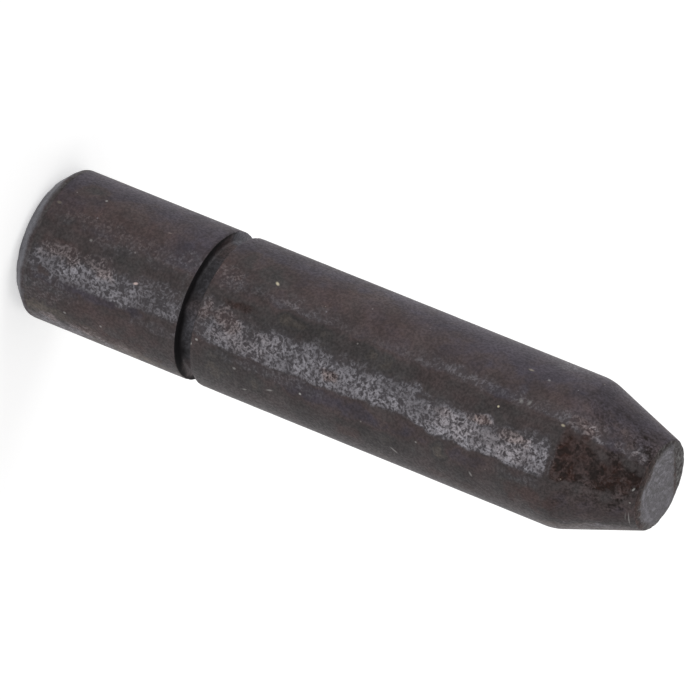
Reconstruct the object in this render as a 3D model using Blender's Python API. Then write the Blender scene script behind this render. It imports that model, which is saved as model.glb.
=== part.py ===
"""Bearing pin: one turned steel pin with a chamfered head end, a retaining groove and a tapered nose.

Lengths are in metres and +Z is up. The pin stands on its head end. The origin is the centre of that
flat end face, and +Z runs along the pin's axis to its tip.
"""
import math

import bmesh
import bpy
from mathutils import Vector

# Shank: the plain round length that the bearing or pivot turns on
SHANK_DIAMETER = 0.0200
OVERALL_LENGTH = 0.0900

# Head end: a 45 degree chamfer round the face that the pin stands on
HEAD_CHAMFER = 0.0017
HEAD_CHAMFER_BLEND_RADIUS = 0.0006
HEAD_FACE_EDGE_RADIUS = 0.0003

# Retaining groove: turned square into the shank, for a plate or ring that holds the pin endwise
HEAD_LENGTH = 0.0247
GROOVE_WIDTH = 0.0022
GROOVE_DEPTH = 0.0015
GROOVE_FLOOR_RADIUS = 0.0004
GROOVE_EDGE_RADIUS = 0.0003

# Nose: the taper that leads the pin into its bores, ending in a flat tip with a broken edge
NOSE_LENGTH = 0.0115
NOSE_BLEND_RADIUS = 0.0053
TIP_DIAMETER = 0.0121
TIP_BEVEL_WIDTH = 0.0009
TIP_BEVEL_LENGTH = 0.00025
TIP_EDGE_RADIUS = 0.0003

# Fineness: faces round the pin, and faces along each rounded corner of its outline
FACES_ROUND_PIN = 96
FACES_PER_CORNER = 4

# Finish: blackened steel under a thin brown scale
STEEL_COLOR = (0.070, 0.060, 0.058, 1.0)
STEEL_METALLIC = 0.65
STEEL_ROUGHNESS = 0.55

# Edges sharper than this stay crisp in the shading
SHARP_EDGE_ANGLE = math.radians(35)


def outline_corners():
    """List the outline's corners from the head face to the tip face, as (radius, height, fillet)."""
    shank_radius = SHANK_DIAMETER / 2
    tip_radius = TIP_DIAMETER / 2
    groove_floor = shank_radius - GROOVE_DEPTH
    groove_end = HEAD_LENGTH + GROOVE_WIDTH
    return [
        (shank_radius - HEAD_CHAMFER, 0, HEAD_FACE_EDGE_RADIUS),
        (shank_radius, HEAD_CHAMFER, HEAD_CHAMFER_BLEND_RADIUS),
        (shank_radius, HEAD_LENGTH, GROOVE_EDGE_RADIUS),
        (groove_floor, HEAD_LENGTH, GROOVE_FLOOR_RADIUS),
        (groove_floor, groove_end, GROOVE_FLOOR_RADIUS),
        (shank_radius, groove_end, GROOVE_EDGE_RADIUS),
        (shank_radius, OVERALL_LENGTH - NOSE_LENGTH, NOSE_BLEND_RADIUS),
        (tip_radius, OVERALL_LENGTH - TIP_BEVEL_LENGTH, TIP_EDGE_RADIUS),
        (tip_radius - TIP_BEVEL_WIDTH, OVERALL_LENGTH, 0),
    ]


def corner_arc(before, corner, after, fillet):
    """Return points along the arc that rounds one corner, limited to half of each side next to it."""
    if fillet == 0:
        return [corner]
    to_before = before - corner
    to_after = after - corner
    half_angle = to_before.angle(to_after) / 2
    reach = min(fillet / math.tan(half_angle), to_before.length / 2, to_after.length / 2)
    arc_radius = reach * math.tan(half_angle)
    towards_centre = (to_before.normalized() + to_after.normalized()).normalized()
    centre = corner + towards_centre * arc_radius / math.sin(half_angle)
    first_spoke = (corner + to_before.normalized() * reach - centre).normalized()
    last_spoke = (corner + to_after.normalized() * reach - centre).normalized()
    turns = [step / FACES_PER_CORNER for step in range(FACES_PER_CORNER + 1)]
    return [centre + first_spoke.slerp(last_spoke, turn) * arc_radius for turn in turns]


def rounded_outline(corners):
    """Return the points of the turned outline, with every corner rounded by its own fillet."""
    head_centre = Vector((0, corners[0][1]))
    tip_centre = Vector((0, corners[-1][1]))
    places = [head_centre] + [Vector(corner[:2]) for corner in corners] + [tip_centre]
    fillets = [corner[2] for corner in corners]
    points = []
    for before, place, after, fillet in zip(places, places[1:], places[2:], fillets):
        points.extend(corner_arc(before, place, after, fillet))
    return points


def turned_mesh(name, outline):
    """Spin the outline round the Z axis and close it with the two flat end faces."""
    turned = bmesh.new()
    points = [turned.verts.new((point.x, 0, point.y)) for point in outline]
    edges = [turned.edges.new(pair) for pair in zip(points, points[1:])]
    bmesh.ops.spin(
        turned,
        geom=points + edges,
        cent=(0, 0, 0),
        axis=(0, 0, 1),
        angle=2 * math.pi,
        steps=FACES_ROUND_PIN,
        use_merge=True,
    )
    open_rims = [edge for edge in turned.edges if edge.is_boundary]
    bmesh.ops.holes_fill(turned, edges=open_rims, sides=0)
    bmesh.ops.recalc_face_normals(turned, faces=turned.faces)
    mesh = bpy.data.meshes.new(name)
    turned.to_mesh(mesh)
    turned.free()
    mesh.shade_smooth()
    mesh.set_sharp_from_angle(angle=SHARP_EDGE_ANGLE)
    return mesh


def blackened_steel():
    """Make the pin's finish: dark steel, half dull."""
    material = bpy.data.materials.new("blackened_steel")
    material.use_nodes = True
    shader = material.node_tree.nodes["Principled BSDF"]
    shader.inputs["Base Color"].default_value = STEEL_COLOR
    shader.inputs["Metallic"].default_value = STEEL_METALLIC
    shader.inputs["Roughness"].default_value = STEEL_ROUGHNESS
    return material


def bearing_pin():
    """Turn the whole pin as one solid."""
    mesh = turned_mesh("bearing_pin", rounded_outline(outline_corners()))
    mesh.materials.append(blackened_steel())
    pin = bpy.data.objects.new("bearing_pin", mesh)
    bpy.context.collection.objects.link(pin)
    return pin


for leftover in list(bpy.data.objects):
    bpy.data.objects.remove(leftover)
bearing_pin()
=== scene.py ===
import math

import bmesh
import bpy
import numpy as np
from mathutils import Matrix, Vector, noise


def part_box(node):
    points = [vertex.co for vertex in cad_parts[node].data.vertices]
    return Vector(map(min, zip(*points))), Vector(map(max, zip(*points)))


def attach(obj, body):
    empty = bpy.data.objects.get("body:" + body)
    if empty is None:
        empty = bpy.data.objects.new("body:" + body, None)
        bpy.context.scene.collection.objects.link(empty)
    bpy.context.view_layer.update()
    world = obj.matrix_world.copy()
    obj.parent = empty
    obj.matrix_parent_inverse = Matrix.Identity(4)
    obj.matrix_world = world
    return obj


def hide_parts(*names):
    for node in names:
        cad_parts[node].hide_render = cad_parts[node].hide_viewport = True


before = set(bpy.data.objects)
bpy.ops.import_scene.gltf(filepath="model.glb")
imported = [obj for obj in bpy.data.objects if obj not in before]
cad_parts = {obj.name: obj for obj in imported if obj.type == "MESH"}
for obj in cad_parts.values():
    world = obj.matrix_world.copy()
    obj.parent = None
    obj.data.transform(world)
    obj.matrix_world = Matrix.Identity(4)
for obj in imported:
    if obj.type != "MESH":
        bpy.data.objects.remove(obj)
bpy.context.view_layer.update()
pin_low, pin_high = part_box("bearing_pin")


# The stage: a wide pale floor that the pin stands on, and a white studio round it.
# The floor and the studio show white to the camera and in the steel, and the floor
# keeps a soft shadow round the foot of the pin.

FLOOR_WIDTH = 6.0
FLOOR_DROP = 0.00005
FLOOR_PAINT = (0.80, 0.80, 0.80, 1)
FLOOR_GLOW = 0.45
STUDIO_LIGHT = 0.55
STUDIO_SEEN = 1.0
WHITE = (1, 1, 1, 1)


def node(tree, kind, inputs=None, **settings):
    """Add a node, with its settings, and its inputs as values or as sockets to link from."""
    made = tree.nodes.new(kind)
    for name, value in settings.items():
        setattr(made, name, value)
    for socket, value in (inputs or {}).items():
        if isinstance(value, bpy.types.NodeSocket):
            tree.links.new(value, made.inputs[socket])
        else:
            made.inputs[socket].default_value = value
    return made


def maths(tree, operation, *values):
    """Add a math node and return its result."""
    return node(tree, "ShaderNodeMath", dict(enumerate(values)), operation=operation).outputs[0]


def seen_directly(tree):
    """Return 1 on rays from the camera and on those that metal and glass send on, and 0 on the rest."""
    rays = node(tree, "ShaderNodeLightPath").outputs
    sent_on = maths(tree, "MAXIMUM", rays["Is Glossy Ray"], rays["Is Transmission Ray"])
    return maths(tree, "MAXIMUM", rays["Is Camera Ray"], sent_on)


floor_mesh = bmesh.new()
bmesh.ops.create_grid(floor_mesh, x_segments=1, y_segments=1, size=FLOOR_WIDTH / 2,
                      matrix=Matrix.Translation((0, 0, pin_low.z - FLOOR_DROP)))
floor = bpy.data.objects.new("studio_floor", bpy.data.meshes.new("studio_floor"))
floor_mesh.to_mesh(floor.data)
floor_mesh.free()
bpy.context.collection.objects.link(floor)

floor_paint = bpy.data.materials.new("studio_floor")
floor_paint.use_nodes = True
tree = floor_paint.node_tree
shader = tree.nodes["Principled BSDF"]
shader.inputs["Base Color"].default_value = FLOOR_PAINT
shader.inputs["Roughness"].default_value = 1.0
shader.inputs["Specular IOR Level"].default_value = 0.0
shader.inputs["Emission Color"].default_value = WHITE
glow = maths(tree, "MULTIPLY", seen_directly(tree), FLOOR_GLOW)
tree.links.new(glow, shader.inputs["Emission Strength"])
floor.data.materials.append(floor_paint)

studio = bpy.data.worlds.new("white_studio")
studio.use_nodes = True
bpy.context.scene.world = studio
tree = studio.node_tree
strength = node(tree, "ShaderNodeMapRange", {"Value": seen_directly(tree), "To Min": STUDIO_LIGHT,
                                             "To Max": STUDIO_SEEN})
background = tree.nodes["Background"]
background.inputs["Color"].default_value = WHITE
tree.links.new(strength.outputs[0], background.inputs["Strength"])


# The lamps: three soft boxes round the pin. Each is given by its bearing from the camera's side,
# its height above the horizon in degrees, and its distance, width, length and power.

PIN_MIDDLE = Vector((0, 0, pin_high.z / 2))
SOFT_BOXES = {
    "key_box": (-70, 35, 0.75, 0.50, 0.60, 1.85),
    "fill_box": (65, 30, 0.80, 0.50, 0.60, 0.7),
    "back_box": (165, 40, 0.90, 0.50, 0.60, 1.2),
}

for name, (bearing, height, distance, width, length, power) in SOFT_BOXES.items():
    lamp = bpy.data.lights.new(name, "AREA")
    lamp.shape = "RECTANGLE"
    lamp.size = width
    lamp.size_y = length
    lamp.energy = power
    swing = math.radians(bearing)
    lift = math.radians(height)
    level_reach = math.cos(lift)
    away = Vector((math.sin(swing) * level_reach, -math.cos(swing) * level_reach, math.sin(lift)))
    box = bpy.data.objects.new(name, lamp)
    box.location = PIN_MIDDLE + away * distance
    box.rotation_mode = "QUATERNION"
    box.rotation_quaternion = away.to_track_quat("Z", "Y")
    bpy.context.collection.objects.link(box)


# The camera: far off with a long lens, as for a product photo. It looks down on the upright
# pin and is rolled over, so that the pin's axis slopes down to the right in the picture.

PICTURE_WIDTH_PX = 700
FOCAL_LENGTH_PX = 14637
SENSOR_WIDTH_MM = 36
AIM = Vector((-0.00115, 0, 0.04399))
VIEW_DISTANCE = 1.8355
VIEW_HEIGHT = math.radians(23.622)
AXIS_SLOPE = math.radians(22.022)
NEAREST_SEEN = 0.1
FARTHEST_SEEN = 20

camera = bpy.data.objects.new("camera", bpy.data.cameras.new("camera"))
camera.data.sensor_width = SENSOR_WIDTH_MM
camera.data.lens = SENSOR_WIDTH_MM * FOCAL_LENGTH_PX / PICTURE_WIDTH_PX
camera.data.clip_start = NEAREST_SEEN
camera.data.clip_end = FARTHEST_SEEN
toward_camera = Vector((0, -math.cos(VIEW_HEIGHT), math.sin(VIEW_HEIGHT)))
camera.location = AIM + toward_camera * VIEW_DISTANCE
camera.rotation_mode = "QUATERNION"
level_view = toward_camera.to_track_quat("Z", "Y")
roll = Matrix.Rotation(math.pi / 2 + AXIS_SLOPE, 3, "Z").to_quaternion()
camera.rotation_quaternion = level_view @ roll
bpy.context.collection.objects.link(camera)
bpy.context.scene.camera = camera
bpy.context.scene.view_settings.view_transform = "Standard"


# The pin: turned from one steel bar. The head end is chamfered, the groove is cut square with
# a parting tool, the nose is turned to a taper and the tip is faced off. It was then hardened
# and blackened, and the thin scale has worn back to grey steel in strips along the pin. The strips
# on the camera's side are partly painted highlights.

SHANK_RADIUS = pin_high.x
PIN_LENGTH = pin_high.z
HEAD_CHAMFER = 0.0017
HEAD_LENGTH = 0.0247
GROOVE_WIDTH = 0.0022
GROOVE_DEPTH = 0.0015
NOSE_LENGTH = 0.0115
TIP_RADIUS = 0.00605
TIP_BEVEL_WIDTH = 0.0009
TIP_BEVEL_LENGTH = 0.00025
GROOVE_END = HEAD_LENGTH + GROOVE_WIDTH
GROOVE_RADIUS = SHANK_RADIUS - GROOVE_DEPTH
NOSE_START = PIN_LENGTH - NOSE_LENGTH

# Radii of the rounded corners
HEAD_FACE_EDGE = 0.0003
CHAMFER_BLEND = 0.0006
HEAD_SHOULDER = 0.00015
GROOVE_FLOOR_CORNER = 0.0004
SHANK_SHOULDER = 0.0003
NOSE_BLEND = 0.0053
TIP_EDGE = 0.0003
TIP_FACE_EDGE = 0.0001

# Corners of the turned outline, from the head's centre to the tip's: radius, height and fillet
CORNERS = [
    (0, 0, 0),
    (SHANK_RADIUS - HEAD_CHAMFER, 0, HEAD_FACE_EDGE),
    (SHANK_RADIUS, HEAD_CHAMFER, CHAMFER_BLEND),
    (SHANK_RADIUS, HEAD_LENGTH, HEAD_SHOULDER),
    (GROOVE_RADIUS, HEAD_LENGTH, GROOVE_FLOOR_CORNER),
    (GROOVE_RADIUS, GROOVE_END, GROOVE_FLOOR_CORNER),
    (SHANK_RADIUS, GROOVE_END, SHANK_SHOULDER),
    (SHANK_RADIUS, NOSE_START, NOSE_BLEND),
    (TIP_RADIUS, PIN_LENGTH - TIP_BEVEL_LENGTH, TIP_EDGE),
    (TIP_RADIUS - TIP_BEVEL_WIDTH, PIN_LENGTH, TIP_FACE_EDGE),
    (0, PIN_LENGTH, 0),
]

# Fineness of the mesh, and how close its points lie before they are merged
CORNER_STEPS = 4
ROW_LENGTH = 0.00046
STEPS_ROUND = 360
MERGE_DISTANCE = 0.000002

turned = bmesh.new()
outline = [turned.verts.new((radius, 0, height)) for radius, height, fillet in CORNERS]
for pair in zip(outline, outline[1:]):
    turned.edges.new(pair)
rounded = [(point, corner[2]) for point, corner in zip(outline, CORNERS) if corner[2]]
for point, fillet in rounded:
    sides = [edge.other_vert(point).co - point.co for edge in point.link_edges]
    reach = fillet / math.tan(sides[0].angle(sides[1]) / 2)
    bmesh.ops.bevel(turned, geom=[point], offset=reach, offset_type="OFFSET", segments=CORNER_STEPS,
                    profile=0.5, affect="VERTICES", material=-1)
for edge in list(turned.edges):
    cuts = int(edge.calc_length() / ROW_LENGTH)
    if cuts:
        bmesh.ops.subdivide_edges(turned, edges=[edge], cuts=cuts)
bmesh.ops.spin(turned, geom=turned.verts[:] + turned.edges[:], cent=(0, 0, 0), axis=(0, 0, 1),
               angle=2 * math.pi, steps=STEPS_ROUND, use_merge=True)
bmesh.ops.remove_doubles(turned, verts=turned.verts, dist=MERGE_DISTANCE)
bmesh.ops.recalc_face_normals(turned, faces=turned.faces)

pin = bpy.data.objects.new("turned_pin", bpy.data.meshes.new("turned_pin"))
turned.to_mesh(pin.data)
turned.free()
bpy.context.collection.objects.link(pin)

# Wear, stains and painted light, painted on the mesh. Places are in millimetres along the pin from
# the head face and in degrees round it, from the camera's side. A strip is a list of stations along
# the pin: (place, first degree, last degree, strength). The strips are worn scale, and those on the
# camera's side are partly painted highlights.
HEAD_STRIP = [
    (3.2, 3, 15, 0.0), (4.2, 0, 20, 0.72), (5.5, 2, 23, 0.74), (7.5, 5, 24, 0.76), (9.5, 4, 25, 0.80),
    (11, 0, 27, 0.79), (15, 2, 28, 0.75), (17.5, 3, 28, 0.68), (19, 4, 26, 0.52), (20.5, 3, 24, 0.46),
    (24.2, 3, 24, 0.60), (24.7, 4, 24, 0.46),
]
SHANK_STRIP = [
    (26.9, 1, 26, 0.34), (28, 2, 27, 0.46), (30, 3, 28, 0.67), (31.5, 2, 28, 0.70), (36, 5, 28, 0.73),
    (39, 2, 28, 0.74), (42, 0, 28, 0.73), (46, 1, 28, 0.69), (53, 0, 25, 0.74), (56, 1, 24, 0.79),
    (58.5, 1, 23, 0.79), (61.5, 4, 28, 0.84), (65, 4, 28, 1.06), (68, 3, 28, 1.14), (70, 5, 28, 1.06),
    (74, 4, 28, 1.05), (78.2, 3, 28, 0.88), (78.7, 3, 28, 0.0),
]
# A fainter strip higher up, which runs on over the nose, and is partly a painted highlight too
UPPER_STRIP = [
    (28, -27, -15, 0.20), (35, -27, -17, 0.26), (37, -27, -16, 0.42), (43, -27, -16, 0.42),
    (45, -27, -16, 0.24), (55, -26, -16, 0.24), (58, -27, -16, 0.40), (66, -27, -16, 0.42),
    (68, -26, -15, 0.36), (74, -26, -15, 0.32), (76, -26, -15, 0.42), (79, -27, -14, 0.48),
    (83.5, -28, -13, 0.50), (84.5, -25, -15, 0.30), (86.3, -26, -15, 0.32), (87, -26, -14, 0.54),
    (89.0, -26, -13, 0.48), (89.4, -26, -15, 0.3),
]
# The strips lie at three places round the pin: (degrees round, strength). At 0, on the camera's
# side, they are partly painted highlight; the two on the far side are worn scale
STRIP_TURNS = [(0, 1.0), (104, 0.7), (-128, 0.85)]
# How far the noise moves a strip's two edges, and how soft they are on each side, in degrees
FIRST_EDGE_RAGGED = 6
FIRST_EDGE_BLUR = (8, 9)
LAST_EDGE_RAGGED = 2
LAST_EDGE_BLUR = (3, 2)

# Patches are ovals: (place, bearing, length in millimetres, width in degrees, strength)
BROWN_PATCHES = [
    (11, -30, 20, 28, 0.5), (16, -26, 10, 20, 0.5), (6.5, 4, 10, 18, 0.7), (12, 6, 7, 16, 0.7),
    (3.5, 47, 5, 14, 0.4), (12, 48, 14, 22, 0.5), (14, 64, 16, 18, 0.8), (31.7, -6, 4.5, 10, 1.0),
    (28.5, -25, 5, 26, 0.8), (30.5, 5, 8, 20, 0.75), (34, 16, 9, 26, 0.25), (38, -22, 5, 10, 0.25),
    (46.7, 17, 2.4, 8, 0.9), (42, -42, 8, 22, 0.45), (51, -36, 9, 30, 0.35), (68.2, 4, 4, 11, 1.0),
    (73, 7, 5, 8, 0.8), (70, 16, 18, 24, 0.2), (63, 9, 3, 6, 0.4), (77, -32, 6, 16, 0.3),
    (77, 48, 6, 22, 0.8), (50, 57, 4, 12, 0.6), (65, 66, 8, 12, 0.4),
]
# Grime patches, some of them painted shade: the dark strip between the two bright strips, the darker
# upper and lower rims, and the shade along the head's shoulder at the groove
GRIME_AND_SHADE_PATCHES = [
    (17, -8, 16, 12, 0.08), (46, -8, 26, 13, 0.16), (66, -9, 28, 12, 0.22), (32, -77, 28, 26, 0.36),
    (5, -33, 4, 14, 0.15), (52, 62, 34, 40, 0.18), (31.7, -6, 4.5, 10, 0.8), (46.7, 17, 2.4, 7, 0.6),
    (33.5, -20, 6, 14, 0.3), (24.7, -55, 0.8, 60, 0.5), (28.5, -14, 5, 10, 0.16), (76, -14, 7, 8, 0.16),
]
# The same on the nose, where they start sharply at the taper. The nose's grime is partly painted
# shade: an even layer over all of it, and darker patches where its near side shows a painted dark
# reflection
NOSE_BROWN = [
    (80.5, 7, 8, 46, 1.0), (86.5, 10, 7, 34, 0.8), (81.5, -20, 7, 16, 0.9), (88, -18, 3, 12, 0.5),
    (80.5, -36, 4, 14, 0.3),
]
NOSE_GRIME_AND_SHADE = [
    (80, 12, 6.5, 42, 0.88), (82.5, 2, 7, 26, 0.72), (82.5, 22, 6, 18, 0.78), (87.6, 12, 7, 64, 0.86),
    (84, -40, 15, 60, 0.46), (88.6, -28, 4.5, 56, 0.76), (84.5, 37, 12, 24, 0.48),
]
# An even painted shade over the whole nose, which faces away from the light
NOSE_SHADE = 0.24
# Where the nose's stain and painted shade start and are full, past the start of the taper, in
# millimetres
NOSE_EDGE = (0.3, 0.8)
# Spots rubbed a little barer than the skin round them. Some are painted highlights and reflections:
# the line along the taper's edge, the spots in the bright strips, and those near the upper and lower
# rims
RUBBED_AND_LIT_PATCHES = [
    (4.5, 12, 6, 24, 0.62), (8.5, 20, 10, 18, 0.74), (8, 5, 6, 14, 0.48), (5.5, 37, 10, 34, 0.31),
    (15, -20, 28, 24, 0.27), (21, 5, 12, 18, 0.38), (22, 34, 9, 13, 0.30), (23, -25, 5, 16, 0.34),
    (30, 3, 9, 20, 0.50), (32.5, 6, 5, 14, 0.66), (38, 33, 18, 13, 0.32), (39, 0, 6, 8, 0.25),
    (58.5, 4, 8, 12, 0.62), (68.3, 4, 5, 14, 0.96), (68.5, 15, 5, 16, 1.0), (73, 9, 5, 10, 0.84),
    (76, 35, 8, 12, 0.28), (82, -22, 3.4, 9, 0.76), (88, -20, 3, 9, 0.70), (79.1, 8, 0.7, 44, 0.30),
    (73.5, -75, 6, 24, 0.45), (86, 78, 9, 16, 0.45), (29.5, -22, 6, 24, 0.42), (8, 74, 18, 26, 0.62),
]
# How far the noise moves a patch's edge, and where it starts to fade and ends, as shares of its reach
PATCH_RAGGED = 0.7
PATCH_EDGE = (0.45, 1.25)
# How far it moves the edges of the nose's stain and painted shade and of the head's bright steel and
# painted highlight, in millimetres
EDGE_RAGGED = 0.3

# Shades of the scale: 0 is violet, 1 is brown, 2 is grey-green and 3 is tan, a lighter painted
# reflection along the lower rim. First by the degree round the pin, (degree, shade), then in softer
# ovals laid over that, each with its shade last. Round the pin they are partly painted light: cooler
# violet toward the upper rim and warmer toward the lower rim
LAST_SHADE = 3
SHADES_ROUND = [
    (-180, 1), (-95, 0.5), (-75, 0.0), (-58, 0.15), (-44, 0.75), (-16, 0.9), (-10, 1.7), (0, 1.7),
    (28, 1.3), (34, 1.5), (50, 1.6), (62, 1.75), (74, 1.9), (95, 1.8), (180, 1),
]
SHADE_PATCHES = [
    (12, -34, 20, 34, 1.0), (22.5, -36, 7, 50, 0.2), (17.5, -8, 12, 13, 1.6), (6, -50, 5, 16, 1.6),
    (3, -60, 4, 40, 0.1), (5, 56, 13, 40, 2.7), (5, -33, 4, 14, 0.2), (6, -17, 4, 8, 1.8),
    (13, 43, 18, 22, 1.0), (10, 75, 26, 22, 3.0), (12, 29, 14, 9, 0.1), (34, -36, 9, 26, 1.9),
    (47, -44, 20, 34, 0.9), (70, -60, 26, 40, 0.0), (46, -7, 22, 14, 2.1), (66, -8, 16, 12, 1.3),
    (47, 36, 26, 14, 0.2), (33, 42, 12, 26, 2.0), (66, 39, 9, 12, 0.5), (59, 50, 14, 14, 1.8),
    (63.5, 38, 2.5, 16, 2.2), (75, 40, 5, 12, 2.0), (85, -56, 9, 50, 0.1), (84.8, -19, 3, 12, 0.2),
    (84, 48, 12, 36, 0.7), (69.2, -19, 4, 9, 0.0), (85, 82, 12, 22, 2.7),
]
SHADE_RAGGED = 0.8
SHADE_EDGE = (0.3, 1.6)

# Brown and dark blotches on the far side, which starts between two bearings. Each kind shows
# where the noise rises between two levels, brown where it is high and grime where it is low
BEHIND = (75, 100)
BROWN_BEHIND = 0.8
BROWN_LEVELS = (0.0, 0.35)
GRIME_BEHIND = 0.35
GRIME_LEVELS = (0.1, 0.4)

# Sizes of the noise that makes edges ragged, blotches the far side and chips the tip, in
# millimetres, and how fast its finer octaves weaken and how many times finer each one is
RAGGED_SIZE = 2.2
BLOTCH_SIZE = 7
CHIP_SIZE = 0.9
OCTAVE_FALL = 0.6
OCTAVE_STEP = 2.0

MM_PER_METRE = 1000


def mm(metres):
    """Give a length in millimetres."""
    return metres * MM_PER_METRE


def per_vertex(owner, field):
    """Read three numbers for each vertex of the pin."""
    values = np.empty(len(pin.data.vertices) * 3)
    owner.foreach_get(field, values)
    return values.reshape(-1, 3)


def uneven(samples, size, octaves=2):
    """Sample smooth noise of one size at each point."""
    levels = [noise.fractal(sample / size, OCTAVE_FALL, OCTAVE_STEP, octaves) for sample in samples]
    return np.array(levels)


def eased(value, low, high):
    """Rise smoothly from 0 at low to 1 at high."""
    step = np.clip((value - low) / (high - low), 0, 1)
    return step * step * (3 - 2 * step)


def by_degree(around, stations):
    """Read off a value that is listed by the degree round the pin."""
    return np.interp(around, *np.array(stations).T)


def strip(stations, along, around, ragged):
    """Paint a strip of wear and painted highlight; its first edge is ragged, its last is near straight.
    """
    place, first, last, strength = np.array(stations).T
    start = np.interp(along, place, first) + ragged * FIRST_EDGE_RAGGED
    end = np.interp(along, place, last) + ragged * LAST_EDGE_RAGGED
    level = np.interp(along, place, strength, left=0, right=0)
    starting = eased(around, start - FIRST_EDGE_BLUR[0], start + FIRST_EDGE_BLUR[1])
    ending = eased(around, end - LAST_EDGE_BLUR[0], end + LAST_EDGE_BLUR[1])
    return level * starting * (1 - ending)


def from_centre(along, around, place, bearing, length, width):
    """Measure how far out in an oval each point lies: 0 at its centre and 1 at its edge."""
    return np.hypot((along - place) / length, (around - bearing) / width) * 2


def patches(ovals, along, around, ragged):
    """Paint oval patches, each of its own strength."""
    paint = np.zeros(len(along))
    for *oval, strength in ovals:
        distance = from_centre(along, around, *oval) + ragged * PATCH_RAGGED
        paint = np.maximum(paint, strength * (1 - eased(distance, *PATCH_EDGE)))
    return paint


def laid_over(paint, ovals, along, around, ragged):
    """Lay soft ovals over the paint, each of its own shade."""
    for *oval, shade in ovals:
        distance = from_centre(along, around, *oval) + ragged * SHADE_RAGGED
        paint = paint + (1 - eased(distance, *SHADE_EDGE)) * (shade - paint)
    return paint


places = per_vertex(pin.data.vertices, "co")
normals = per_vertex(pin.data.vertex_normals, "vector")
along = mm(places[:, 2])
around = np.degrees(np.arctan2(places[:, 0], -places[:, 1]))
out = mm(np.hypot(places[:, 0], places[:, 1]))
samples = [mm(Vector(place)) for place in places]
ragged = uneven(samples, RAGGED_SIZE, octaves=3)
here = (along, around, ragged)

worn = patches(RUBBED_AND_LIT_PATCHES, *here)
for turn, strength in STRIP_TURNS:
    bearing = (around - turn + 180) % 360 - 180
    for stations in (HEAD_STRIP, SHANK_STRIP, UPPER_STRIP):
        worn = np.maximum(worn, strength * strip(stations, along, bearing, ragged))

behind = eased(np.abs(around), *BEHIND)
blotches = uneven(samples, BLOTCH_SIZE, octaves=3)
brown_behind = behind * BROWN_BEHIND * eased(blotches, *BROWN_LEVELS)
grime_behind = behind * GRIME_BEHIND * eased(-blotches, *GRIME_LEVELS)
brown = np.maximum(patches(BROWN_PATCHES, *here), brown_behind)
grime = np.maximum(patches(GRIME_AND_SHADE_PATCHES, *here), grime_behind)

stain_and_shade_start, stain_and_shade_full = [mm(NOSE_START) + past for past in NOSE_EDGE]
on_nose = eased(along + ragged * EDGE_RAGGED, stain_and_shade_start, stain_and_shade_full)
brown = np.maximum(brown, on_nose * patches(NOSE_BROWN, *here))
grime = np.maximum(grime, on_nose * np.maximum(patches(NOSE_GRIME_AND_SHADE, *here), NOSE_SHADE))
shade = laid_over(by_degree(around, SHADES_ROUND), SHADE_PATCHES, *here)
paint = {"worn": worn, "brown": brown, "grime": grime, "shade": shade}


def repaint(region, **layers):
    """Paint over the layers given, within one region of the pin."""
    for layer, value in layers.items():
        paint[layer] = np.where(region, value, paint[layer])


# The head end's face and chamfer, worn bright, with the chamfer painted lighter still as a highlight
# and brighter on one side than on the other as painted light. The blur is how far the bright steel
# fades on each side of the chamfer's edge, in millimetres
HEAD_BLUR = 0.55
HEAD_BRIGHTNESS = 0.88
HEAD_UNEVENNESS = 0.3
HEAD_LIT_SIDE = 0.2

head_edge = mm(HEAD_CHAMFER)
at_head = 1 - eased(along + ragged * EDGE_RAGGED, head_edge - HEAD_BLUR, head_edge + HEAD_BLUR)
bright = HEAD_BRIGHTNESS + ragged * HEAD_UNEVENNESS + HEAD_LIT_SIDE * np.sin(np.radians(around))
repaint(at_head > 0, worn=at_head, brown=0, shade=LAST_SHADE * np.clip(bright, 0, 1))

# Painted shade in the groove, dark on the head side's wall and its corner: how far it reaches down
# the head side and on over the floor, (degree round, millimetres)
GROOVE_SHADE_REACH = [
    (-180, 1.5), (-95, -0.7), (-81, -0.7), (-74, 0.0), (-66, 0.25), (-55, 0.5), (-45, 0.8), (-35, 1.05),
    (-20, 1.2), (0, 1.4), (20, 1.5), (32, 1.6), (45, 1.75), (58, 1.85), (67, 1.3), (75, 0.5),
    (90, 0.4), (180, 1.5),
]
# Painted light and shade in the groove, lighter where light falls and darker where it is shaded,
# (degree round, strength)
GROOVE_TONES = [
    (-180, 0.4), (-85, 1.3), (-70, 1.1), (-60, 0.58), (-45, 0.38), (-30, 0.25), (-18, 0.25), (0, 0.36),
    (8, 0.74), (20, 0.74), (30, 0.46), (42, 0.27), (54, 0.20), (64, 0.29), (75, 0.6), (180, 0.4),
]
# Its hue, (degree round, from 0 for blue to 1 for brown)
GROOVE_HUES = [
    (-180, 1), (-90, 0), (-74, 0), (-66, 1), (-46, 1), (-36, 0.1), (-6, 0), (4, 0.7), (14, 0.3),
    (24, 0), (58, 0), (68, 1), (180, 1),
]

# The groove's borders, and how far the noise moves the painted shade's edge and how soft it is on
# each side, in millimetres
BORDER = 0.02
SHANK_BORDER = 0.1
GROOVE_SHADE_RAGGED = 0.35
GROOVE_SHADE_BLUR = (0.35, 0.7)
# How uneven the painted light is, how much of it the corner at the head side keeps, as painted
# shade in the corner, and how far that reaches, and how the floor's painted light grows between two
# places past the head side
GROOVE_LIGHT_UNEVENNESS = 0.12
CORNER_LIGHT = 0.5
CORNER_REACH = 0.6
GROOVE_FLOOR_LIGHT = 0.75
GROOVE_FLOOR_LIGHTER = 0.4
FLOOR_PLACES = (0.6, 2.0)

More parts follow.
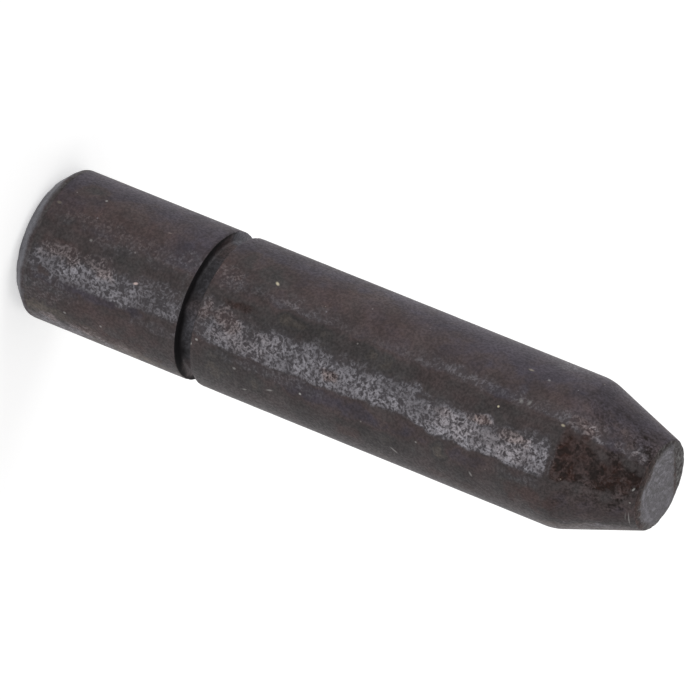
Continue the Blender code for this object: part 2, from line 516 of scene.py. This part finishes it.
beyond_head = along - mm(HEAD_LENGTH)
between_sides = (beyond_head > -BORDER) & (along < mm(GROOVE_END) - SHANK_BORDER)
in_groove = between_sides & (out < mm(SHANK_RADIUS) - BORDER)
down = mm(SHANK_RADIUS) - out + along - mm(HEAD_LENGTH)
shade_end = by_degree(around, GROOVE_SHADE_REACH)
groove_shade = 1 - eased(down + ragged * GROOVE_SHADE_RAGGED, shade_end - GROOVE_SHADE_BLUR[0], shade_end + GROOVE_SHADE_BLUR[1])
from_corner = np.abs(down - mm(GROOVE_DEPTH))
groove_light = by_degree(around, GROOVE_TONES) + GROOVE_LIGHT_UNEVENNESS * ragged
groove_light *= CORNER_LIGHT + (1 - CORNER_LIGHT) * eased(from_corner, 0, CORNER_REACH)
groove_light *= GROOVE_FLOOR_LIGHT + GROOVE_FLOOR_LIGHTER * eased(beyond_head, *FLOOR_PLACES)
repaint(in_groove, worn=groove_light, grime=groove_shade, shade=LAST_SHADE * by_degree(around, GROOVE_HUES))

# The tip, faced flat inside a rusty rim, and struck beyond a chord, with a crack along it. Sizes
# are in millimetres: the depth of the tip that is painted over, the chord's distance from the
# centre and the depth of the blow, and how chipped and how soft the edges are
TIP_DEPTHS = (0.28, 0.1)
STRUCK_DISTANCE = 2.95
STRUCK_ACROSS = (-0.725, 0.688)
STRUCK_DEPTH = 0.05
STRUCK_CHIPPED = 0.25
STRUCK_EDGE = (-0.1, 0.35)
CRACK_EDGE = (0.3, 0.7)
CRACK_START = (-0.5, 1.5)
FACET_CHIPPED = 0.4
FACET_BLUR = 0.35
# The flat stops this far inside the bevel, and further in on the near side, round this bearing
FACET_INSET = 0.1
NEAR_INSET = 0.7
NEAR_BEARING = -6
NEAR_SPREAD = (4, 26)
# It reaches further out again beyond these bearings
LOWER_REACH = 0.1
LOWER_BEARINGS = (26, 50)
UPPER_REACH = 0.35
UPPER_BEARINGS = (40, 70)
# The rim is rusty on the near side, less so on its upper part
RUST_SIDE = (-2.0, 2.0)
RUST_LOSS = 0.7
RUST_LOSS_BEARINGS = (15, 50)
STRUCK_GRIME = 0.4
RIM_GRIME = 0.3
CRACK_GRIME = 0.7

across = mm(places[:, 0])
backward = mm(places[:, 1])
chipped = uneven(samples, CHIP_SIZE, octaves=3)
at_tip = eased(along, *[mm(PIN_LENGTH) - below for below in TIP_DEPTHS])
beyond = across * STRUCK_ACROSS[0] + backward * STRUCK_ACROSS[1] - STRUCK_DISTANCE
beyond += chipped * STRUCK_CHIPPED
struck = at_tip * eased(beyond, *STRUCK_EDGE)
off_near_side = eased(np.abs(around - NEAR_BEARING), *NEAR_SPREAD)
facet_edge = mm(TIP_RADIUS - TIP_BEVEL_WIDTH) - FACET_INSET - NEAR_INSET * (1 - off_near_side)
facet_edge += (LOWER_REACH * eased(around, *LOWER_BEARINGS)
               + UPPER_REACH * eased(-around, *UPPER_BEARINGS))
past_facet = eased(out + chipped * FACET_CHIPPED, facet_edge - FACET_BLUR, facet_edge + FACET_BLUR)
facet = at_tip * (1 - past_facet)
rust_kept = 1 - RUST_LOSS * eased(-around, *RUST_LOSS_BEARINGS)
rusty = eased(-backward, *RUST_SIDE) * (1 - facet) * rust_kept
crack = struck * (1 - eased(beyond, *CRACK_EDGE)) * eased(backward, *CRACK_START)
struck_grime = STRUCK_GRIME * struck * eased(chipped, -0.05, 0.2) * (1 - eased(beyond, 0.3, 0.9))
rusty_grime = rusty * eased(chipped, -0.1, 0.3) * RIM_GRIME + crack * CRACK_GRIME
repaint(at_tip > 0, worn=facet * (1 - struck), brown=np.maximum(rusty, crack),
        grime=np.maximum(struck_grime, rusty_grime), shade=0)

# Unevenness of the surface, which always lies below the turned outline: (size, depth) in
# millimetres. Pits and nicks are cut off at a level of their noise, and a nick's reach is measured
# from its edge
WAVES = (6.5, 0.010)
SCALE_BUMPS = (1.2, 0.007)
WORN_PITS = (0.75, 0.016)
PIT_LEVEL = 0.3
EDGE_NICKS = (1.3, 0.09)
NICK_LEVEL = -0.05
DEEPEST_NICK = 0.6
NICK_REACH = (0.1, 0.6)
NICKED_EDGES = [
    (SHANK_RADIUS - HEAD_CHAMFER, 0), (SHANK_RADIUS, HEAD_CHAMFER), (SHANK_RADIUS, HEAD_LENGTH),
    (SHANK_RADIUS, GROOVE_END), (TIP_RADIUS, PIN_LENGTH - TIP_BEVEL_LENGTH),
]
# The very centre of each end face, which lies at one even depth
CENTRE_REACH = 0.01
CENTRE_DEPTH = 0.01
# The surface stays this far inside the solid's own radius, in metres
SOLID_CLEARANCE = 1e-6
LEAST_RADIUS = 1e-9

depth = np.zeros(len(along))
for size, height in (WAVES, SCALE_BUMPS):
    depth += height * (1 + uneven(samples, size))
depth += paint["worn"] * WORN_PITS[1] * np.clip(uneven(samples, WORN_PITS[0]) + PIT_LEVEL, 0, 1)
nicks = np.clip(uneven(samples, EDGE_NICKS[0]) + NICK_LEVEL, 0, DEEPEST_NICK)
for radius, height in NICKED_EDGES:
    near = 1 - eased(np.hypot(out - mm(radius), along - mm(height)), *NICK_REACH)
    depth += near * nicks * EDGE_NICKS[1]
depth += struck * STRUCK_DEPTH * (0.7 + 0.6 * np.clip(chipped, 0, 1)) * eased(beyond, 0, 0.8)
depth = np.where(out < CENTRE_REACH, CENTRE_DEPTH, np.clip(depth, 0, None))
places -= normals * depth[:, None] / MM_PER_METRE
radii = np.hypot(places[:, 0], places[:, 1])
inward = np.minimum(1, (SHANK_RADIUS - SOLID_CLEARANCE) / np.maximum(radii, LEAST_RADIUS))
places[:, :2] *= inward[:, None]
places[:, 2] = np.clip(places[:, 2], 0, PIN_LENGTH)
pin.data.vertices.foreach_set("co", places.ravel())
pin.data.update()
pin.data.shade_smooth()

# The painted layers for the finishes: wear with painted highlight and light, brown stains, grime with
# painted shade, and the shade of the scale
wear_and_light = pin.data.color_attributes.new("wear_and_light", "FLOAT_COLOR", "POINT")
layers = [paint["worn"], paint["brown"], paint["grime"], paint["shade"] / LAST_SHADE]
wear_and_light.data.foreach_set("color", np.stack(layers, 1).ravel())


def product(tree, first, *others):
    """Multiply values."""
    for value in others:
        first = maths(tree, "MULTIPLY", first, value)
    return first


def total(tree, first, *others):
    """Add values up."""
    for value in others:
        first = maths(tree, "ADD", first, value)
    return first


def rise(tree, value, low, high, start=0.0, end=1.0):
    """Map a value smoothly from low and high to start and end."""
    return node(tree, "ShaderNodeMapRange", {"Value": value, "From Min": low, "From Max": high,
                                             "To Min": start, "To Max": end},
                interpolation_type="SMOOTHSTEP").outputs["Result"]


def tint(tree, amount, first, second, kind="MIX"):
    """Blend two colours."""
    return node(tree, "ShaderNodeMix", {0: amount, 6: first, 7: second}, data_type="RGBA",
                blend_type=kind).outputs[2]


def toned(tree, colour, tone):
    """Make a colour darker or lighter by a tone, which leaves it alone at 1."""
    return tint(tree, 1.0, colour, tone, "MULTIPLY")


def part_of(tree, vector, axis):
    """Take one axis out of a vector."""
    return node(tree, "ShaderNodeSeparateXYZ", {0: vector}).outputs[axis]


def effect(name, inputs, outputs):
    """Start a group of shader nodes, and return it with the sockets to read from and to fill."""
    group = bpy.data.node_groups.new(name, "ShaderNodeTree")
    for label, (kind, value) in inputs.items():
        socket = group.interface.new_socket(name=label, in_out="INPUT", socket_type="NodeSocket" + kind)
        if value is not None:
            socket.default_value = value
    for label, kind in outputs.items():
        group.interface.new_socket(name=label, in_out="OUTPUT", socket_type="NodeSocket" + kind)
    return group, group.nodes.new("NodeGroupInput").outputs, group.nodes.new("NodeGroupOutput").inputs


# Where a point lies on the pin, in millimetres: as it stands, unrolled, and out from the axis
place_group, _, given = effect("pin_place", {},
                               {"Place": "Vector", "Unrolled": "Vector", "Out": "Float"})
tree = place_group
coordinates = node(tree, "ShaderNodeTexCoord").outputs["Object"]
in_mm = node(tree, "ShaderNodeVectorMath", {0: coordinates, "Scale": MM_PER_METRE}, operation="SCALE")
split = node(tree, "ShaderNodeSeparateXYZ", {0: in_mm.outputs[0]}).outputs
bearing = maths(tree, "ARCTAN2", split["X"], product(tree, split["Y"], -1.0))
arc = product(tree, bearing, mm(SHANK_RADIUS))
unrolled = node(tree, "ShaderNodeCombineXYZ", {"X": split["Z"], "Y": arc})
flat = node(tree, "ShaderNodeCombineXYZ", {"X": split["X"], "Y": split["Y"]})
from_axis = node(tree, "ShaderNodeVectorMath", {0: flat.outputs[0]}, operation="LENGTH")
tree.links.new(in_mm.outputs[0], given["Place"])
tree.links.new(unrolled.outputs[0], given["Unrolled"])
tree.links.new(from_axis.outputs["Value"], given["Out"])

# The grain of the scale: worm-like ridges with hollows between them, fine grit, blots and clumps.
# Its size is in millimetres. Each noise is given by how many times finer than that it is, its
# detail, its roughness and its twist.
GRAIN_SIZE = 0.6
FINE_RIDGES = (0.90, 3.0, 0.6, 0.5)
BROAD_RIDGES = (0.52, 2.5, 0.6, 0.5)
GRIT = (1.7, 2.5, 0.6, 0.0)
BLOTS = (0.5, 3.0, 0.65, 0.8)
CLUMPS = (0.22, 3.0, 0.6, 0.3)
PITS_FINER = 0.45


def grain_noise(tree, place, fineness, finer, detail, rough, twist):
    """Add one noise of the grain."""
    return node(tree, "ShaderNodeTexNoise", {"Vector": place, "Scale": product(tree, fineness, finer),
                                             "Detail": detail, "Roughness": rough,
                                             "Distortion": twist}).outputs[0]


def ridges(tree, value):
    """Turn noise into thin ridges where it crosses its middle."""
    from_middle = maths(tree, "ABSOLUTE", maths(tree, "SUBTRACT", value, 0.5))
    return rise(tree, from_middle, 0.0, 0.15, 1.0, 0.0)


grain_group, read, given = effect("scale_grain",
                                  {"Place": ("Vector", None), "Size": ("Float", GRAIN_SIZE)},
                                  {"Height": "Float", "Pits": "Float", "Grit": "Float",
                                   "Clumps": "Float", "Blots": "Float"})
tree = grain_group
fineness = maths(tree, "DIVIDE", 1.0, read["Size"])
grain_here = (tree, read["Place"], fineness)
grit = rise(tree, grain_noise(*grain_here, *GRIT), 0.28, 0.72)
fine = product(tree, ridges(tree, grain_noise(*grain_here, *FINE_RIDGES)), 0.36)
broad = product(tree, ridges(tree, grain_noise(*grain_here, *BROAD_RIDGES)), 0.34)
cells = node(tree, "ShaderNodeTexVoronoi", {"Vector": read["Place"],
                                            "Scale": product(tree, fineness, PITS_FINER)})
tree.links.new(total(tree, fine, broad, product(tree, grit, 0.30)), given["Height"])
tree.links.new(rise(tree, cells.outputs["Distance"], 0.08, 0.34, 1.0, 0.0), given["Pits"])
tree.links.new(grit, given["Grit"])
tree.links.new(rise(tree, grain_noise(*grain_here, *BLOTS), 0.38, 0.62), given["Blots"])
tree.links.new(rise(tree, grain_noise(*grain_here, *CLUMPS), 0.32, 0.66), given["Clumps"])

# Dust: small pale specks, each with its own size and its own tint between these two. The spacing
# is in millimetres, and the reach of the largest speck is a share of it.
DUST_TAN = (0.34, 0.29, 0.22, 1)
DUST_GREY = (0.30, 0.29, 0.33, 1)
LARGEST_SPECK_SHARE = 0.075

dust_group, read, given = effect("dust", {"Place": ("Vector", None), "Spacing": ("Float", 2.0)},
                                 {"Speck": "Float", "Tint": "Color"})
tree = dust_group
cell = node(tree, "ShaderNodeTexVoronoi", {"Vector": read["Place"],
                                           "Scale": maths(tree, "DIVIDE", 1.0, read["Spacing"])}).outputs
picked = node(tree, "ShaderNodeSeparateColor", {0: cell["Color"]}).outputs
speck_reach = rise(tree, picked[0], 0.3, 1.0, 0.0, LARGEST_SPECK_SHARE)
outward = maths(tree, "DIVIDE", cell["Distance"], total(tree, speck_reach, 0.0001))
tree.links.new(rise(tree, maths(tree, "SUBTRACT", 1.0, outward), 0.0, 0.5), given["Speck"])
tree.links.new(tint(tree, picked[1], DUST_TAN, DUST_GREY), given["Tint"])


def steel(name):
    """Start a finish of the pin, and return its tree, its shader and the sockets that it reads."""
    finish = bpy.data.materials.new(name)
    finish.use_nodes = True
    pin.data.materials.append(finish)
    tree = finish.node_tree
    place = node(tree, "ShaderNodeGroup", node_tree=place_group).outputs
    grain = node(tree, "ShaderNodeGroup", {"Place": place["Place"]}, node_tree=grain_group).outputs
    wear_and_light = node(tree, "ShaderNodeAttribute", attribute_name="wear_and_light").outputs
    painted = node(tree, "ShaderNodeSeparateColor", {0: wear_and_light["Color"]}).outputs
    return tree, tree.nodes["Principled BSDF"], place, grain, (*painted, wear_and_light["Alpha"])


# The blackened skin of the head, the shank and the nose, in its four shades, the fourth a pale tan
# that is a painted reflection along the lower rim
VIOLET_SCALE = (0.047, 0.0402, 0.0515, 1)
BROWN_SCALE = (0.058, 0.0433, 0.0430, 1)
GREY_SCALE = (0.043, 0.0398, 0.0398, 1)
TAN_REFLECTION = (0.126, 0.1045, 0.0870, 1)
RED_BROWN = (0.059, 0.0350, 0.0320, 1)
BARE_STEEL_AND_GLINT = (0.31, 0.299, 0.326, 1)
BARED_AND_LIT_SCALE = (0.058, 0.0540, 0.0600, 1)
BARE_PINK_AND_GLINT = (0.38, 0.318, 0.312, 1)
DIRT_AND_SHADE = (0.013, 0.0098, 0.0088, 1)
RED_DIRT_AND_SHADE = (0.034, 0.0150, 0.0105, 1)
EDGE_TINT = (0.72, 0.69, 0.71, 1)
SKIN_METALLIC = 0.55
BARE_METALLIC = 0.85
SKIN_ROUGHNESS = 0.48
BARE_ROUGHNESS = 0.36
GRAIN_HEIGHT = 0.00005
DUST_SPACING_MM = 2.2
DUST_STRENGTH = 0.4

# Specks, flecks and scratches that stand out, in millimetres and degrees:
# (place, bearing, length along, width round, turn, strength, tint)
PALE = (0.55, 0.54, 0.52, 1)
YELLOWISH = (0.60, 0.54, 0.40, 1)
PINKISH = (0.55, 0.44, 0.42, 1)
MARKS = [
    (35.1, -33, 0.8, 0.45, 35, 0.8, YELLOWISH), (17.7, 7, 0.8, 0.4, -20, 1.0, PINKISH),
    (8.4, -45, 0.4, 0.4, 0, 0.4, PALE), (8.3, 53, 0.5, 0.4, 0, 0.4, PALE),
    (13.7, 52, 0.4, 0.4, 0, 0.4, PALE), (27.0, 34, 0.5, 0.45, 0, 0.6, PALE),
    (27.8, 29, 0.5, 0.35, 0, 0.5, PALE), (33.6, 40, 0.6, 0.4, 0, 0.3, PALE),
    (43.3, 39, 0.4, 0.4, 0, 0.6, PALE), (38.8, 47, 1.1, 0.3, -20, 0.35, PALE),
    (35, 57, 0.9, 0.3, -20, 0.3, PALE), (60.3, 40, 0.35, 0.35, 0, 0.35, PALE),
    (57, 57, 1.5, 0.3, 35, 0.35, PALE), (68.3, 49, 0.9, 0.35, 60, 0.3, PALE),
    (69.8, -9, 0.35, 0.35, 0, 0.8, YELLOWISH), (72.2, -19, 0.9, 0.6, 35, 0.2, PALE),
    (73.3, -20, 1.0, 0.5, -73, 0.2, PALE), (70.8, -47, 0.9, 0.4, 0, 0.3, YELLOWISH),
    (73.7, -44, 0.5, 0.4, 0, 0.25, PALE), (78.7, -14, 0.6, 0.4, 0, 0.5, YELLOWISH),
    (67.6, 4, 0.9, 0.35, 49, 0.4, PINKISH), (89.2, 16, 0.9, 0.3, -73, 0.4, PALE),
    (89.1, 33, 0.3, 0.3, 0, 0.35, PALE), (89.0, 58, 4.2, 0.17, 91, 0.3, PALE),
    (88.6, 54, 3.0, 0.15, 93, 0.15, PALE), (9.7, -10, 0.5, 0.4, 0, 0.25, PALE),
    (18.5, -39, 0.6, 0.3, 0, 0.2, PINKISH), (3.2, -28, 0.8, 0.5, 0, 0.15, YELLOWISH),
]


def marked(tree, colour, unrolled):
    """Lay the marks over a colour."""
    for place, bearing, length, width, turn, strength, mark in MARKS:
        round_pin = mm(math.radians(bearing) * SHANK_RADIUS)
        fitted = node(tree, "ShaderNodeMapping", {"Vector": unrolled, "Location": (place, round_pin, 0),
                                                  "Rotation": (0, 0, math.radians(turn)),
                                                  "Scale": (length / 2, width / 2, 1)},
                      vector_type="TEXTURE")
        away = node(tree, "ShaderNodeVectorMath", {0: fitted.outputs[0]}, operation="LENGTH")
        strength_here = rise(tree, away.outputs["Value"], 0.3, 1.2, strength, 0.0)
        colour = tint(tree, strength_here, colour, mark)
    return colour


tree, shader, place, grain, (worn, brown, grime, shade) = steel("scaled_skin")
mottle = node(tree, "ShaderNodeTexNoise", {"Vector": place["Place"], "Scale": 0.28, "Detail": 5.0,
                                           "Roughness": 0.62}).outputs
drift = node(tree, "ShaderNodeSeparateColor", {0: mottle["Color"]}).outputs

# The four shades, the brown stains over them, and the grit and drift of their tone
shifted = total(tree, shade, rise(tree, drift[0], 0.3, 0.7, -0.12, 0.12))
shades = node(tree, "ShaderNodeValToRGB", {0: shifted})
ramp = shades.color_ramp.elements
for step in range(1, LAST_SHADE):
    ramp.new(step / LAST_SHADE)
for stop, scale_colour in zip(ramp, (VIOLET_SCALE, BROWN_SCALE, GREY_SCALE, TAN_REFLECTION)):
    stop.color = scale_colour
browned = product(tree, brown, rise(tree, grain["Clumps"], 0.0, 1.0, 0.5, 1.0))
colour = tint(tree, browned, shades.outputs["Color"], RED_BROWN)
colour = toned(tree, colour, rise(tree, grain["Grit"], 0.0, 1.0, 0.78, 1.22))
colour = toned(tree, colour, rise(tree, drift[2], 0.35, 0.65, 0.82, 1.18))

# Grime and painted shade, in spots and in the hollows of the grain, and redder where the skin is brown
spotty = total(tree, rise(tree, drift[1], 0.36, 0.64, 0.36, -0.36),
               rise(tree, grain["Blots"], 0.0, 1.0, 0.45, -0.58),
               rise(tree, grain["Grit"], 0.2, 0.8, 0.28, -0.28))
hollows = rise(tree, grain["Height"], 0.2, 0.8, 1.05, 0.75)
soiled_and_shaded = product(tree, grime, total(tree, product(tree, grime, spotty), hollows))
reddened = product(tree, brown, rise(tree, drift[0], 0.38, 0.62, 0.2, 1.0),
                   rise(tree, grain["Blots"], 0.0, 0.6, 0.3, 1.0))
colour = tint(tree, soiled_and_shaded, colour, tint(tree, reddened, DIRT_AND_SHADE, RED_DIRT_AND_SHADE))

# Wear and painted highlight: the skin is rubbed greyer, the peaks of its grain are bare steel, and
# dirt stays in pits. On the strips that are painted highlights, the greyer skin and bright peaks
# stand for the highlight and its glints
cover = product(tree, rise(tree, worn, 0.0, 1.1), rise(tree, grain["Clumps"], 0.0, 1.0, 0.6, 1.05))
lowest_peak = rise(tree, worn, 0.0, 1.0, 0.56, 0.24)
bare_and_glinting = product(tree, rise(tree, grain["Height"], lowest_peak, 0.97), cover)
unbrowned = maths(tree, "SUBTRACT", 1.0, product(tree, brown, 0.8))
greyed_and_lit = product(tree, rise(tree, worn, 0.0, 0.7, 0.0, 0.85), unbrowned)
colour = tint(tree, greyed_and_lit, colour, BARED_AND_LIT_SCALE)
colour = tint(tree, bare_and_glinting, colour, tint(tree, brown, BARE_STEEL_AND_GLINT, BARE_PINK_AND_GLINT))
colour = tint(tree, product(tree, grain["Pits"], cover, 0.18), colour, DIRT_AND_SHADE)

# Marks and dust on top
colour = marked(tree, colour, place["Unrolled"])
dust = node(tree, "ShaderNodeGroup", {"Place": place["Place"], "Spacing": DUST_SPACING_MM},
            node_tree=dust_group).outputs
colour = tint(tree, product(tree, dust["Speck"], DUST_STRENGTH), colour, dust["Tint"])

metal = rise(tree, bare_and_glinting, 0.0, 1.0, SKIN_METALLIC, BARE_METALLIC)
metal = maths(tree, "SUBTRACT", metal, product(tree, browned, 0.2))
rough = rise(tree, bare_and_glinting, 0.0, 1.0, SKIN_ROUGHNESS, BARE_ROUGHNESS)
rough = total(tree, rough, product(tree, browned, 0.10), rise(tree, grain["Grit"], 0, 1, 0.06, -0.06))
bump = node(tree, "ShaderNodeBump", {"Strength": rise(tree, worn, 0.0, 1.0, 0.35, 0.9),
                                     "Distance": GRAIN_HEIGHT, "Height": grain["Height"]})
shader.inputs["Specular Tint"].default_value = EDGE_TINT
tree.links.new(colour, shader.inputs["Base Color"])
tree.links.new(total(tree, metal, product(tree, soiled_and_shaded, 0.25)), shader.inputs["Metallic"])
tree.links.new(rough, shader.inputs["Roughness"])
tree.links.new(bump.outputs[0], shader.inputs["Normal"])

# The turned groove: darker, with fine rings from the parting tool, painted light and shade round it,
# and painted shade on its head side
GROOVE_DARK = (0.020, 0.0190, 0.0205, 1)
GROOVE_BLUE = (0.102, 0.100, 0.115, 1)
GROOVE_BROWN = (0.112, 0.079, 0.077, 1)
GROOVE_SHADE_BLACK = (0.003, 0.0025, 0.003, 1)
GROOVE_METALLIC = 0.4
UNSHADED_ROUGHNESS = 0.5
SHADED_ROUGHNESS = 0.8
RING_SPACING_MM = 0.11
RING_HEIGHT = 0.00001

tree, shader, place, grain, (worn, brown, grime, shade) = steel("turned_groove")
rings = product(tree, part_of(tree, place["Place"], "Z"), 2 * math.pi / RING_SPACING_MM)
rings = maths(tree, "SINE", rings)
colour = tint(tree, worn, GROOVE_DARK, tint(tree, shade, GROOVE_BLUE, GROOVE_BROWN))
colour = toned(tree, colour, rise(tree, grain["Grit"], 0.0, 1.0, 0.6, 1.4))
colour = toned(tree, colour, rise(tree, grain["Blots"], 0.0, 1.0, 0.85, 1.15))
colour = tint(tree, grime, colour, GROOVE_SHADE_BLACK)
rough = rise(tree, grime, 0.0, 1.0, UNSHADED_ROUGHNESS, SHADED_ROUGHNESS)
bump = node(tree, "ShaderNodeBump", {"Strength": 0.4, "Distance": RING_HEIGHT,
                                     "Height": total(tree, rings, grain["Grit"])})
shader.inputs["Metallic"].default_value = GROOVE_METALLIC
shader.inputs["Specular Tint"].default_value = EDGE_TINT
tree.links.new(colour, shader.inputs["Base Color"])
tree.links.new(rough, shader.inputs["Roughness"])
tree.links.new(bump.outputs[0], shader.inputs["Normal"])

# The faced ends: cleaner steel with arcs from the facing tool, a head chamfer painted lighter as a
# highlight, and a brown rim round the tip
FACED_STEEL = (0.040, 0.0380, 0.0435, 1)
FACED_LIGHT = (0.091, 0.0878, 0.0995, 1)
DENT_STEEL = (0.026, 0.0255, 0.027, 1)
LIT_CHAMFER_STEEL = (0.188, 0.1910, 0.2110, 1)
STRUCK_STEEL = (0.040, 0.0390, 0.0375, 1)
STRUCK_LIGHT = (0.104, 0.1020, 0.0990, 1)
RIM_BROWN = (0.040, 0.0320, 0.0290, 1)
RIM_RED = (0.058, 0.0370, 0.0320, 1)
FACED_METALLIC = 0.6
FACED_ROUGHNESS = 0.42
STRUCK_ROUGHNESS = 0.6
FACING_SPACING_MM = 1.3
FACING_HEIGHT = 0.00003
DOT_SIZE_MM = 0.28

tree, shader, place, grain, (worn, brown, grime, shade) = steel("faced_end")

# The facing tool's arcs, drawn lighter as their painted highlights, which wander a little and fade
# toward the far side, and short dents
wander = rise(tree, grain["Clumps"], 0.0, 1.0, -0.3, 0.3)
arcs = product(tree, total(tree, place["Out"], wander), 2 * math.pi / FACING_SPACING_MM)
arcs = maths(tree, "SINE", arcs)
round_tip = part_of(tree, place["Unrolled"], "Y")
streak_place = node(tree, "ShaderNodeCombineXYZ", {"X": product(tree, place["Out"], 1.5),
                                                   "Y": product(tree, round_tip, 0.16)})
streaks = node(tree, "ShaderNodeTexNoise", {"Vector": streak_place.outputs[0], "Scale": 1.0,
                                            "Detail": 3.0, "Roughness": 0.6}).outputs[0]
cut = total(tree, rise(tree, streaks, 0.40, 0.64, -1.5, 1.5), rise(tree, arcs, 0.3, 1.0, -0.3, 1.1))
nearer = rise(tree, part_of(tree, place["Place"], "Y"), -4.5, 1.0, 1.0, 0.4)
faced = tint(tree, total(tree, product(tree, cut, nearer), 0.16), FACED_STEEL, FACED_LIGHT)
dent_place = node(tree, "ShaderNodeMapping", {"Vector": place["Place"], "Rotation": (0, 0, 0.7),
                                              "Scale": (1.5, 0.5, 1.0)})
dents = node(tree, "ShaderNodeTexNoise", {"Vector": dent_place.outputs[0], "Scale": 1.0,
                                          "Detail": 2.0}).outputs[0]
faced = tint(tree, rise(tree, dents, 0.38, 0.48, 0.8, 0.0), faced, DENT_STEEL)
# The head's chamfer, painted lighter as a highlight and brighter on one side as painted light
faced = tint(tree, shade, faced, LIT_CHAMFER_STEEL)

# The struck side and the rim, with the grain's grit over all of it
struck_colour = tint(tree, grain["Blots"], STRUCK_STEEL, STRUCK_LIGHT)
struck_colour = tint(tree, shade, struck_colour, BROWN_SCALE)
rim = tint(tree, grain["Clumps"], RIM_BROWN, RIM_RED)
rim = tint(tree, rise(tree, grain["Blots"], 0.0, 1.0, 0.5, 0.0), rim, DIRT_AND_SHADE)
colour = tint(tree, worn, tint(tree, brown, struck_colour, rim), faced)
colour = toned(tree, colour, rise(tree, grain["Grit"], 0.0, 1.0, 0.78, 1.22))

# Dirt, in dots where the tip isn't faced, and as it was painted
dots = node(tree, "ShaderNodeGroup", {"Place": place["Place"], "Size": DOT_SIZE_MM},
            node_tree=grain_group).outputs["Blots"]
dotted = product(tree, rise(tree, dots, 0.15, 0.55, 1.0, 0.0), rise(tree, worn, 0.0, 1.0, 0.95, 0.12))
colour = tint(tree, product(tree, dotted, rise(tree, shade, 0.0, 0.6, 1.0, 0.0)), colour, DIRT_AND_SHADE)
colour = tint(tree, grime, colour, tint(tree, brown, DIRT_AND_SHADE, RED_DIRT_AND_SHADE))

rough = rise(tree, worn, 0.0, 1.0, STRUCK_ROUGHNESS, FACED_ROUGHNESS)
bump = node(tree, "ShaderNodeBump", {"Strength": 0.6, "Distance": FACING_HEIGHT,
                                     "Height": total(tree, product(tree, arcs, 0.3), grain["Grit"])})
shader.inputs["Metallic"].default_value = FACED_METALLIC
shader.inputs["Specular Tint"].default_value = EDGE_TINT
tree.links.new(colour, shader.inputs["Base Color"])
tree.links.new(rough, shader.inputs["Roughness"])
tree.links.new(bump.outputs[0], shader.inputs["Normal"])

# Which faces have the groove's finish and which have the ends', with margins at their borders
GROOVE_SIDE_MARGIN = 0.00008
GROOVE_LIP_MARGIN = 0.00012
CHAMFER_MARGIN = 0.0005
IN_GROOVE = pin.data.materials.find("turned_groove")
AT_END = pin.data.materials.find("faced_end")

for face in pin.data.polygons:
    height = face.center.z
    radius = math.hypot(face.center.x, face.center.y)
    at_groove = HEAD_LENGTH - GROOVE_SIDE_MARGIN < height < GROOVE_END + GROOVE_SIDE_MARGIN
    if at_groove and radius < SHANK_RADIUS - GROOVE_LIP_MARGIN:
        face.material_index = IN_GROOVE
    elif height < HEAD_CHAMFER + CHAMFER_MARGIN or height > PIN_LENGTH - TIP_BEVEL_LENGTH:
        face.material_index = AT_END

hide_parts("bearing_pin")
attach(pin, "root")
